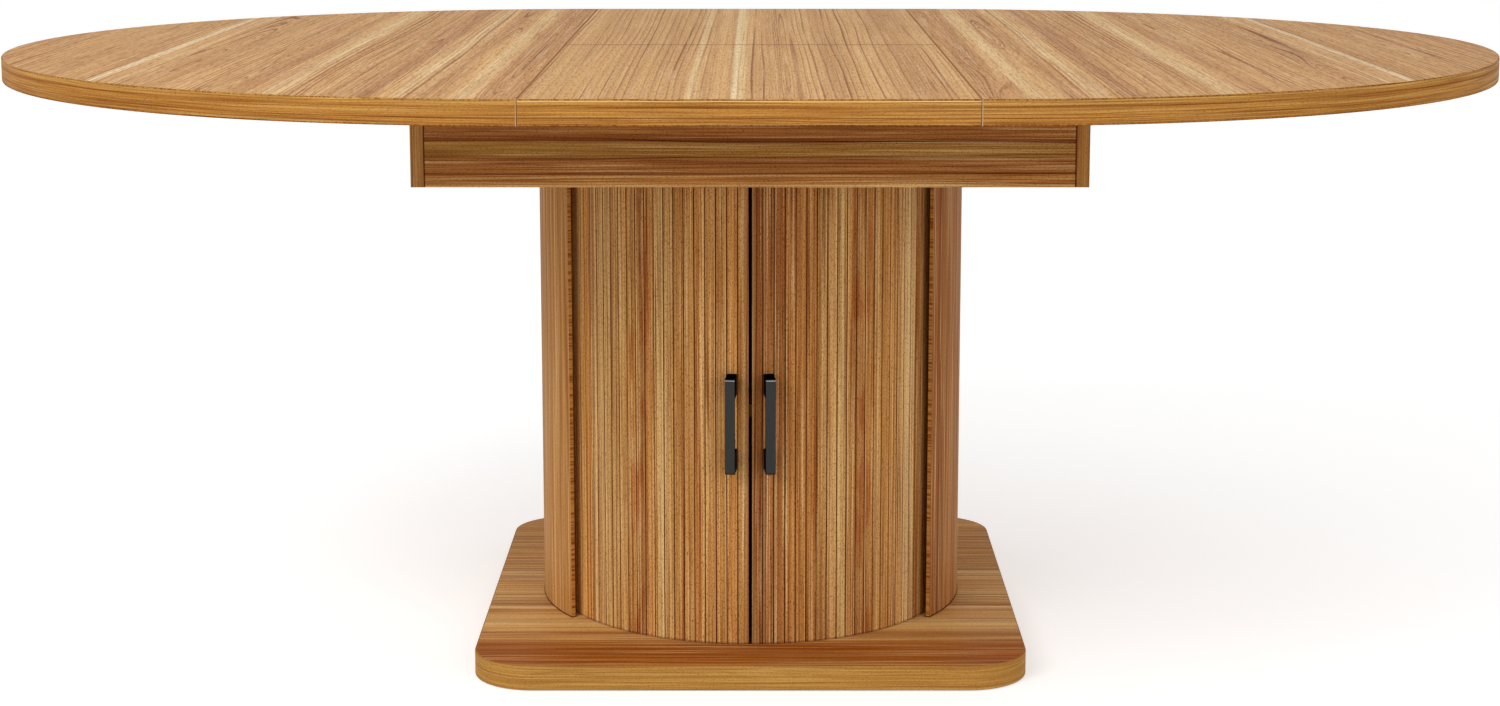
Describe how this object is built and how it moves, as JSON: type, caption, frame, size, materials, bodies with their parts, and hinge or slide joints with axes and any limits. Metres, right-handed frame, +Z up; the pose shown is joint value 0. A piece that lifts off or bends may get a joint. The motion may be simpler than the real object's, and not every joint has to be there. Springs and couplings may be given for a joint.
{
  "type": "extending pedestal dining table with cabinet",
  "caption": "Round-ended wooden dining table that extends with a folding leaf, on a drum-shaped cabinet with roll-round slatted doors and a flat base.",
  "frame": {"origin": "on the floor under the middle of the extended table", "axes": "+X along the extended top, -Y towards the side with the cabinet doors, +Z up"},
  "size_m": [1.8788, 1.4, 0.75],
  "materials": {
    "top_laminate": "satin wood-grain laminate",
    "edge_band": "satin wood-grain edge band",
    "base_laminate": "satin wood-grain laminate",
    "shell_veneer": "satin wood-grain laminate on a bent board",
    "slat_laminate": "satin wood-grain laminate",
    "apron_laminate": "satin wood-grain laminate",
    "carcass_board": "matt melamine-faced board",
    "door_canvas": "woven canvas",
    "handle_black": "black powder coat",
    "guide_steel": "zinc-plated steel",
    "zinc_steel": "bright zinc",
    "runner_aluminium": "mill-finish extrusion",
    "hinge_brass": "turned brass",
    "glide_plastic": "matte",
    "peg_plastic": "matte nylon",
    "stop_rubber": "matte"
  },
  "bodies": {
    "table": {"base_plate": "base_laminate", "base_edge_band": "edge_band", "base_glides": "glide_plastic", "base_screws": "zinc_steel", "left_shell": "shell_veneer", "right_shell": "shell_veneer", "shell_joint_strip": "carcass_board", "left_upright": "carcass_board", "right_upright": "carcass_board", "cabinet_back": "carcass_board", "shelf": "carcass_board", "shelf_pins": "zinc_steel", "store_floor": "carcass_board", "floor_screws": "zinc_steel", "apron_front": "apron_laminate", "apron_back": "apron_laminate", "apron_left": "apron_laminate", "apron_right": "apron_laminate", "left_cross_rail": "carcass_board", "right_cross_rail": "carcass_board", "rail_screws": "zinc_steel", "corner_blocks": "carcass_board", "corner_screws": "zinc_steel", "slide_guides": "guide_steel", "guide_screws": "zinc_steel", "centre_stops": "stop_rubber"},
    "left_door": {"left_door_slats": "slat_laminate", "left_door_canvas": "door_canvas", "left_door_batten": "carcass_board", "left_handle": "handle_black", "left_handle_screws": "zinc_steel"},
    "right_door": {"right_door_slats": "slat_laminate", "right_door_canvas": "door_canvas", "right_door_batten": "carcass_board", "right_handle": "handle_black", "right_handle_screws": "zinc_steel"},
    "left_half": {"left_top_board": "top_laminate", "left_top_bands": "edge_band", "left_runners": "runner_aluminium", "left_runner_screws": "zinc_steel", "left_runner_stops": "guide_steel", "left_leaf_rest": "carcass_board", "left_leaf_rest_screws": "zinc_steel", "left_leaf_peg": "peg_plastic"},
    "right_half": {"right_top_board": "top_laminate", "right_top_bands": "edge_band", "right_runners": "runner_aluminium", "right_runner_screws": "zinc_steel", "right_runner_stops": "guide_steel", "right_leaf_rest": "carcass_board", "right_leaf_rest_screws": "zinc_steel", "right_leaf_peg": "peg_plastic"},
    "leaf_front": {"leaf_front_board": "top_laminate", "leaf_front_bands": "edge_band", "leaf_front_barrels": "hinge_brass"},
    "leaf_rear": {"leaf_rear_board": "top_laminate", "leaf_rear_bands": "edge_band", "leaf_rear_barrels": "hinge_brass"},
    "leaf_links": {"leaf_hinge_links": "guide_steel"}
  },
  "joints": [
    {"name": "left_top_slide", "type": "slide", "parent": "table", "child": "left_half", "axis": [-1, 0, 0], "range_m": [0, 0.025]},
    {"name": "right_top_slide", "type": "slide", "parent": "table", "child": "right_half", "axis": [1, 0, 0], "range_m": [0, 0.025]},
    {"name": "leaf_lift", "type": "slide", "parent": "table", "child": "leaf_front", "axis": [0, 0, 1], "range_m": [0, 0.1]},
    {"name": "leaf_fold", "type": "hinge", "parent": "leaf_front", "child": "leaf_rear", "pos_m": [0, 0, 0.75025], "axis": [1, 0, 0], "range_deg": [0, 180]},
    {"name": "leaf_link_turn", "type": "hinge", "parent": "leaf_front", "child": "leaf_links", "pos_m": [0, 0, 0.75025], "axis": [1, 0, 0], "range_deg": [0, 90]},
    {"name": "left_door_turn", "type": "hinge", "parent": "table", "child": "left_door", "pos_m": [0, -0.012, 0.3225], "axis": [0, 0, -1], "range_deg": [0, 50]},
    {"name": "right_door_turn", "type": "hinge", "parent": "table", "child": "right_door", "pos_m": [0, -0.012, 0.3225], "axis": [0, 0, 1], "range_deg": [0, 50]}
  ],
  "couplings": [
    {"joint": "leaf_link_turn", "follows": "leaf_fold", "ratio": 0.5}
  ]
}
